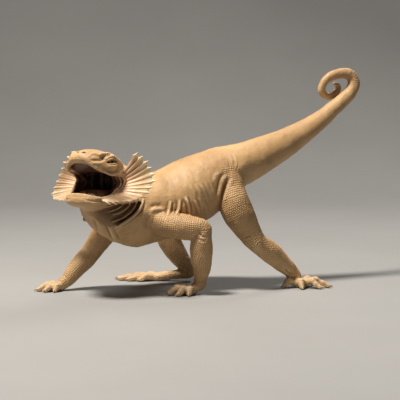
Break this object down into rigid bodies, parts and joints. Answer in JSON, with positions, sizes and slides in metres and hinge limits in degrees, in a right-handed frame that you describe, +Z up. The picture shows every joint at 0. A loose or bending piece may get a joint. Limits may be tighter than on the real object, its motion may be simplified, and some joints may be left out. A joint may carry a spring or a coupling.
{
  "type": "toad-headed agama",
  "caption": "Life-size still model of a toad-headed agama, mouth open, fringed cheek flaps spread and tail curled, for display.",
  "frame": {"origin": "on the ground, under the middle of the model's bounding box", "axes": "+Z up; the trunk lies along X and faces -X, so its left side is -Y; the head is turned 36 degrees to its left and the tail reaches to +X"},
  "size_m": [0.1714, 0.0762, 0.1099],
  "materials": {
    "skin": "dry scaly skin",
    "flap": "thin pleated skin",
    "mouth_lining": "moist",
    "eye": "glossy"
  },
  "bodies": {
    "root": {"head": "skin", "lower_jaw": "skin", "tongue": "mouth_lining", "cheek_flap_left": "flap", "cheek_flap_right": "flap", "eye_left": "eye", "eye_right": "eye", "neck": "skin", "torso": "skin", "tail_base": "skin", "tail_middle": "skin", "tail_end": "skin", "tail_curl": "skin", "upper_arm_left": "skin", "forearm_left": "skin", "hand_left": "skin", "upper_arm_right": "skin", "forearm_right": "skin", "hand_right": "skin", "thigh_left": "skin", "shank_left": "skin", "foot_left": "skin", "thigh_right": "skin", "shank_right": "skin", "foot_right": "skin"}
  },
  "joints": []
}
